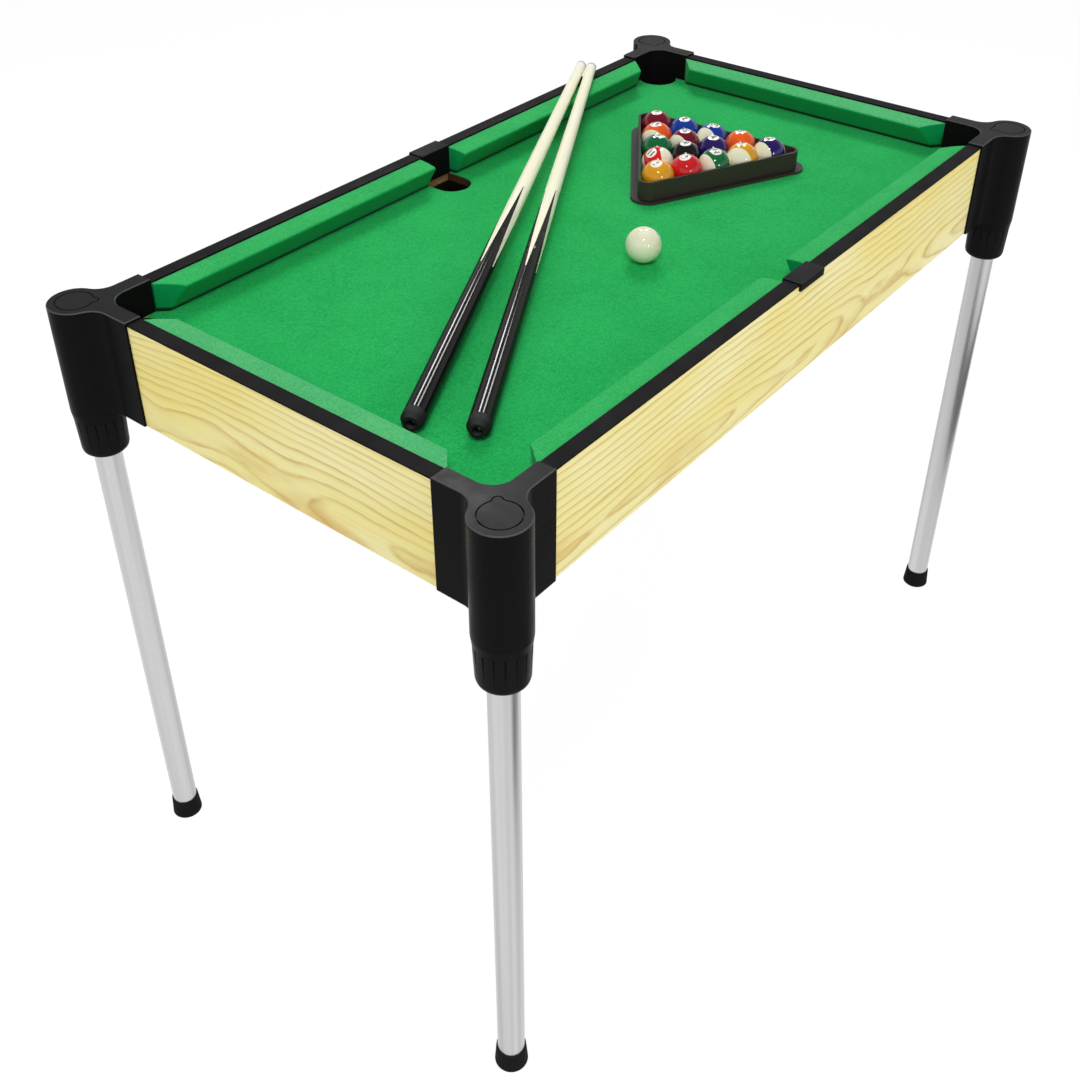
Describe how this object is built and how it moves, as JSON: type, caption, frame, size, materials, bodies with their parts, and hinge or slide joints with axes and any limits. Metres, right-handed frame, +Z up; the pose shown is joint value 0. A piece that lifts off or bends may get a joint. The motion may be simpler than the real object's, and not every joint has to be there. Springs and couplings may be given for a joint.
{
  "type": "pool table",
  "caption": "Small free-standing pool table with a cloth bed in a wood apron, corner posts on tube legs, pocket cups, cues, rack and numbered balls.",
  "frame": {"origin": "on the floor under the middle of the table", "axes": "+X along the table to the rack end, +Y from the front rail to the back rail, +Z up"},
  "size_m": [1.012, 0.574, 0.7329],
  "materials": {
    "apron": "pale pine grain foil, satin",
    "ball_1": "polished, solid colour, plain number",
    "ball_10": "polished, striped, plain number",
    "ball_11": "polished, striped, plain number",
    "ball_12": "polished, striped, plain number",
    "ball_13": "polished, striped, plain number",
    "ball_14": "polished, striped, plain number",
    "ball_15": "polished, striped, plain number",
    "ball_2": "polished, solid colour, plain number",
    "ball_3": "polished, solid colour, plain number",
    "ball_4": "polished, solid colour, plain number",
    "ball_5": "polished, solid colour, plain number",
    "ball_6": "polished, solid colour, plain number",
    "ball_7": "polished, solid colour, plain number",
    "ball_8": "polished, solid colour, plain number",
    "ball_9": "polished, striped, plain number",
    "ball_rack": "satin black",
    "bed_braces": "raw softwood",
    "bed_cloth": "green napped cloth",
    "casting_screws": "zinc plated",
    "corner_cups": "dark green black",
    "corner_lower": "satin black, fine texture",
    "corner_upper": "satin black, fine texture",
    "cue_ball": "polished ivory",
    "cue_bumper": "black rubber",
    "cue_butt": "black stained, glossy lacquer",
    "cue_shaft": "maple, clear lacquer",
    "cue_tip": "white ferrule with a leather tip",
    "end_cushions": "green cloth over rubber",
    "leg_collar": "satin black, fluted",
    "leg_foot": "matt black rubber",
    "leg_tube": "satin silver",
    "long_cushions": "green cloth over rubber",
    "middle_brackets": "satin black",
    "middle_cups": "matt black",
    "playing_bed": "raw fibreboard",
    "post_caps": "satin black",
    "rim_strips": "matt black"
  },
  "bodies": {
    "table": {"apron_back": "apron", "apron_front": "apron", "apron_left": "apron", "apron_right": "apron", "bed_braces": "bed_braces", "bed_cloth": "bed_cloth", "casting_screws": "casting_screws", "corner_cups": "corner_cups", "corner_lower_back_left": "corner_lower", "corner_lower_back_right": "corner_lower", "corner_lower_front_left": "corner_lower", "corner_lower_front_right": "corner_lower", "corner_upper_back_left": "corner_upper", "corner_upper_back_right": "corner_upper", "corner_upper_front_left": "corner_upper", "corner_upper_front_right": "corner_upper", "end_cushions": "end_cushions", "long_cushions": "long_cushions", "middle_brackets": "middle_brackets", "middle_cups": "middle_cups", "playing_bed": "playing_bed", "post_caps": "post_caps", "rim_strips": "rim_strips"},
    "ball_1": {"ball_1": "ball_1"},
    "ball_10": {"ball_10": "ball_10"},
    "ball_11": {"ball_11": "ball_11"},
    "ball_12": {"ball_12": "ball_12"},
    "ball_13": {"ball_13": "ball_13"},
    "ball_14": {"ball_14": "ball_14"},
    "ball_15": {"ball_15": "ball_15"},
    "ball_2": {"ball_2": "ball_2"},
    "ball_3": {"ball_3": "ball_3"},
    "ball_4": {"ball_4": "ball_4"},
    "ball_5": {"ball_5": "ball_5"},
    "ball_6": {"ball_6": "ball_6"},
    "ball_7": {"ball_7": "ball_7"},
    "ball_8": {"ball_8": "ball_8"},
    "ball_9": {"ball_9": "ball_9"},
    "rack": {"ball_rack": "ball_rack"},
    "cue_1": {"cue_1_bumper": "cue_bumper", "cue_1_butt": "cue_butt", "cue_1_shaft": "cue_shaft", "cue_1_tip": "cue_tip"},
    "cue_2": {"cue_2_bumper": "cue_bumper", "cue_2_butt": "cue_butt", "cue_2_shaft": "cue_shaft", "cue_2_tip": "cue_tip"},
    "cue_ball": {"cue_ball": "cue_ball"},
    "collar_back_left": {"leg_collar_back_left": "leg_collar"},
    "collar_back_right": {"leg_collar_back_right": "leg_collar"},
    "collar_front_left": {"leg_collar_front_left": "leg_collar"},
    "collar_front_right": {"leg_collar_front_right": "leg_collar"},
    "leg_back_left": {"leg_foot_back_left": "leg_foot", "leg_tube_back_left": "leg_tube"},
    "leg_back_right": {"leg_foot_back_right": "leg_foot", "leg_tube_back_right": "leg_tube"},
    "leg_front_left": {"leg_foot_front_left": "leg_foot", "leg_tube_front_left": "leg_tube"},
    "leg_front_right": {"leg_foot_front_right": "leg_foot", "leg_tube_front_right": "leg_tube"}
  },
  "joints": [
    {"name": "leg_pull_back_right", "type": "slide", "parent": "table", "child": "leg_back_right", "axis": [0, 0, 1], "range_m": [-0.105, 0]},
    {"name": "collar_turn_back_right", "type": "hinge", "parent": "table", "child": "collar_back_right", "pos_m": [0.48, 0.261, 0.594], "axis": [0, 0, 1], "range_deg": [0, 90]},
    {"name": "leg_pull_back_left", "type": "slide", "parent": "table", "child": "leg_back_left", "axis": [0, 0, 1], "range_m": [-0.105, 0]},
    {"name": "collar_turn_back_left", "type": "hinge", "parent": "table", "child": "collar_back_left", "pos_m": [-0.48, 0.261, 0.594], "axis": [0, 0, 1], "range_deg": [0, 90]},
    {"name": "leg_pull_front_left", "type": "slide", "parent": "table", "child": "leg_front_left", "axis": [0, 0, 1], "range_m": [-0.105, 0]},
    {"name": "collar_turn_front_left", "type": "hinge", "parent": "table", "child": "collar_front_left", "pos_m": [-0.48, -0.261, 0.594], "axis": [0, 0, 1], "range_deg": [0, 90]},
    {"name": "leg_pull_front_right", "type": "slide", "parent": "table", "child": "leg_front_right", "axis": [0, 0, 1], "range_m": [-0.105, 0]},
    {"name": "collar_turn_front_right", "type": "hinge", "parent": "table", "child": "collar_front_right", "pos_m": [0.48, -0.261, 0.594], "axis": [0, 0, 1], "range_deg": [0, 90]},
    {"name": "cue_1_lift", "type": "slide", "parent": "table", "child": "cue_1", "axis": [0, 0, 1], "range_m": [0, 0.15]},
    {"name": "cue_2_lift", "type": "slide", "parent": "table", "child": "cue_2", "axis": [0, 0, 1], "range_m": [0, 0.15]},
    {"name": "rack_lift", "type": "slide", "parent": "table", "child": "rack", "axis": [0, 0, 1], "range_m": [0, 0.15]},
    {"name": "ball_1_lift", "type": "slide", "parent": "table", "child": "ball_1", "axis": [0, 0, 1], "range_m": [0, 0.1]},
    {"name": "ball_10_lift", "type": "slide", "parent": "table", "child": "ball_10", "axis": [0, 0, 1], "range_m": [0, 0.1]},
    {"name": "ball_11_lift", "type": "slide", "parent": "table", "child": "ball_11", "axis": [0, 0, 1], "range_m": [0, 0.1]},
    {"name": "ball_12_lift", "type": "slide", "parent": "table", "child": "ball_12", "axis": [0, 0, 1], "range_m": [0, 0.1]},
    {"name": "ball_13_lift", "type": "slide", "parent": "table", "child": "ball_13", "axis": [0, 0, 1], "range_m": [0, 0.1]},
    {"name": "ball_14_lift", "type": "slide", "parent": "table", "child": "ball_14", "axis": [0, 0, 1], "range_m": [0, 0.1]},
    {"name": "ball_15_lift", "type": "slide", "parent": "table", "child": "ball_15", "axis": [0, 0, 1], "range_m": [0, 0.1]},
    {"name": "ball_2_lift", "type": "slide", "parent": "table", "child": "ball_2", "axis": [0, 0, 1], "range_m": [0, 0.1]},
    {"name": "ball_3_lift", "type": "slide", "parent": "table", "child": "ball_3", "axis": [0, 0, 1], "range_m": [0, 0.1]},
    {"name": "ball_4_lift", "type": "slide", "parent": "table", "child": "ball_4", "axis": [0, 0, 1], "range_m": [0, 0.1]},
    {"name": "ball_5_lift", "type": "slide", "parent": "table", "child": "ball_5", "axis": [0, 0, 1], "range_m": [0, 0.1]},
    {"name": "ball_6_lift", "type": "slide", "parent": "table", "child": "ball_6", "axis": [0, 0, 1], "range_m": [0, 0.1]},
    {"name": "ball_7_lift", "type": "slide", "parent": "table", "child": "ball_7", "axis": [0, 0, 1], "range_m": [0, 0.1]},
    {"name": "ball_8_lift", "type": "slide", "parent": "table", "child": "ball_8", "axis": [0, 0, 1], "range_m": [0, 0.1]},
    {"name": "ball_9_lift", "type": "slide", "parent": "table", "child": "ball_9", "axis": [0, 0, 1], "range_m": [0, 0.1]},
    {"name": "cue_ball_lift", "type": "slide", "parent": "table", "child": "cue_ball", "axis": [0, 0, 1], "range_m": [0, 0.1]}
  ]
}
